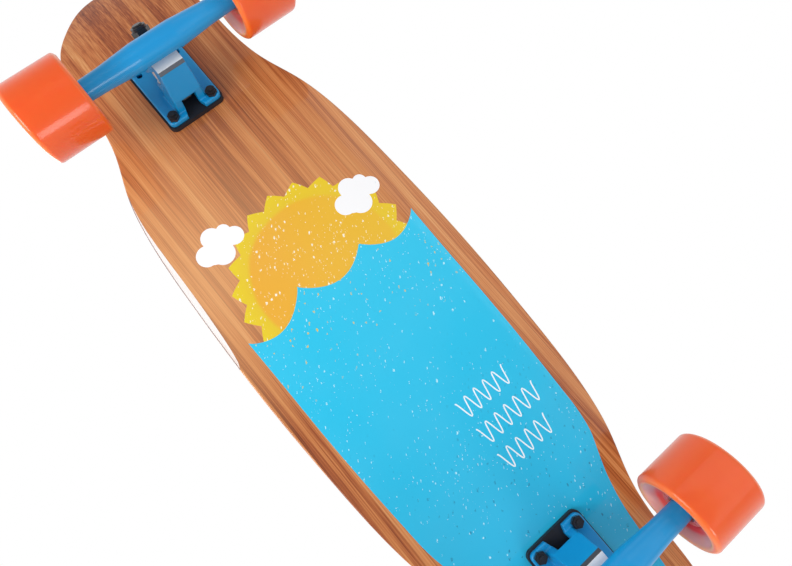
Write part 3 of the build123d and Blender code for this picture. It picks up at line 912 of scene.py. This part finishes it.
# The floor fades out with distance, and is clear from below, where the camera is
floor_reach = 9
corners = [(x * floor_reach, y * floor_reach, 0) for x, y in ((-1, -1), (1, -1), (1, 1), (-1, 1))]
floor_mesh = mesh_from("floor", corners, [(0, 1, 2, 3)])
floor = bpy.data.objects.new("floor", floor_mesh)
bpy.context.scene.collection.objects.link(floor)
s = Shader("floor_paint")
floor_tone = s.noise(3, detail=3)
s.set(Base_Color=s.mix(floor_tone, srgb(206, 206, 207), srgb(214, 214, 213)), Roughness=0.7,
      Specular_IOR_Level=0.2)
across, along, _ = s.xyz()
square = s.math("ADD", s.math("MULTIPLY", across, across), s.math("MULTIPLY", along, along))
distance = s.math("SQRT", square)
fade = s.ramp(s.math("MULTIPLY", distance, 0.12), [(0.06, 0.0), (0.45, 1.0)], "EASE")
clear = s.add("ShaderNodeBsdfTransparent")
facing = s.add("ShaderNodeNewGeometry")
choose = s.add("ShaderNodeMixShader")
s.put(choose.inputs[0], s.math("MAXIMUM", facing.outputs["Backfacing"], fade))
s.tree.links.new(s.surface.outputs[0], choose.inputs[1])
s.tree.links.new(clear.outputs[0], choose.inputs[2])
s.tree.links.new(choose.outputs[0], s.output.inputs["Surface"])
floor_mesh.materials.append(s.material)
floor.visible_diffuse = False
floor.visible_glossy = False
floor.visible_transmission = False
floor.visible_shadow = False

# The camera sees plain white, and the light is grey from below and white from above
world = bpy.data.worlds.new("studio")
bpy.context.scene.world = world
world.use_nodes = True
sky = world.node_tree
sky.nodes.clear()
world_out = sky.nodes.new("ShaderNodeOutputWorld")
seen = sky.nodes.new("ShaderNodeBackground")
seen.inputs["Color"].default_value = (1, 1, 1, 1)
seen.inputs["Strength"].default_value = 1.0
lit = sky.nodes.new("ShaderNodeBackground")
heading = sky.nodes.new("ShaderNodeTexCoord")
parts = sky.nodes.new("ShaderNodeSeparateXYZ")
shade = sky.nodes.new("ShaderNodeValToRGB")
shade.color_ramp.elements[0].position = 0.25
shade.color_ramp.elements[0].color = (0.50, 0.51, 0.53, 1)
shade.color_ramp.elements[1].position = 0.55
shade.color_ramp.elements[1].color = (1.0, 1.0, 1.0, 1)
lift = sky.nodes.new("ShaderNodeMapRange")
lift.inputs["From Min"].default_value = -1
sky.links.new(heading.outputs["Generated"], parts.inputs[0])
sky.links.new(parts.outputs["Z"], lift.inputs["Value"])
sky.links.new(lift.outputs[0], shade.inputs[0])
sky.links.new(shade.outputs[0], lit.inputs["Color"])
lit.inputs["Strength"].default_value = 0.9
ray = sky.nodes.new("ShaderNodeLightPath")
pick = sky.nodes.new("ShaderNodeMixShader")
sky.links.new(ray.outputs["Is Camera Ray"], pick.inputs[0])
sky.links.new(lit.outputs[0], pick.inputs[1])
sky.links.new(seen.outputs[0], pick.inputs[2])
sky.links.new(pick.outputs[0], world_out.inputs["Surface"])


def softbox(name, place, target, width, height, power, flat=False):
    """A rectangular lamp aimed at a target, or straight up if flat."""
    light = bpy.data.lights.new(name, "AREA")
    light.shape = "RECTANGLE"
    light.size = width
    light.size_y = height
    light.energy = power
    lamp = bpy.data.objects.new(name, light)
    lamp.location = place
    aim = Vector(target) - Vector(place)
    lamp.rotation_euler = (math.pi, 0, 0) if flat else aim.to_track_quat("-Z", "Y").to_euler()
    bpy.context.scene.collection.objects.link(lamp)
    return lamp


softbox("key_below", (0.1, -1.3, -0.9), (0, 0, 0.08), 1.0, 0.7, 6.5)
softbox("edge_below", (0.2, -0.85, -0.35), (0.15, -0.05, 0.1), 0.6, 0.4, 3.6)
softbox("side_below", (-0.1, 0.98, -1.3), (0, 0, 0), 4.0, 0.95, 7.5, flat=True)
softbox("streak", (-1.25, -0.17, -0.60), (0.24, -0.1, 0.014), 0.45, 0.46, 3.0)
for name, place, target, power in (
    ("truck_fill", (0.30, -0.04, -0.30), (0.262, 0, 0.05), 0.13),
    ("wheel_fill", (-0.27, 0.22, -0.32), (-0.27, 0.10, 0.03), 0.14),
):
    softbox(name, place, target, 0.12, 0.12, power).visible_glossy = False
softbox("key_above", (0.8, -1.2, 1.6), (0, 0, 0.08), 1.2, 1.0, 12)

# The photograph's camera, below the board and looking up
camera_data = bpy.data.cameras.new("camera")
camera_data.sensor_width = 36
camera_data.lens = 27.6
camera_data.clip_start = 0.01
camera_place = Vector((-0.0705, -0.0686, -0.4184))
camera = bpy.data.objects.new("camera", camera_data)
bpy.context.scene.collection.objects.link(camera)
forward = Vector((0.13261, 0.19673, 0.97145)).normalized()
upward = Vector((0.75263, 0.61776, -0.22784)).normalized()
rightward = forward.cross(upward).normalized()
upward = rightward.cross(forward)
turn = Matrix((rightward, upward, -forward)).transposed()
camera.matrix_world = Matrix.Translation(camera_place) @ turn.to_4x4()
bpy.context.scene.camera = camera
bpy.context.scene.view_settings.view_transform = "Standard"
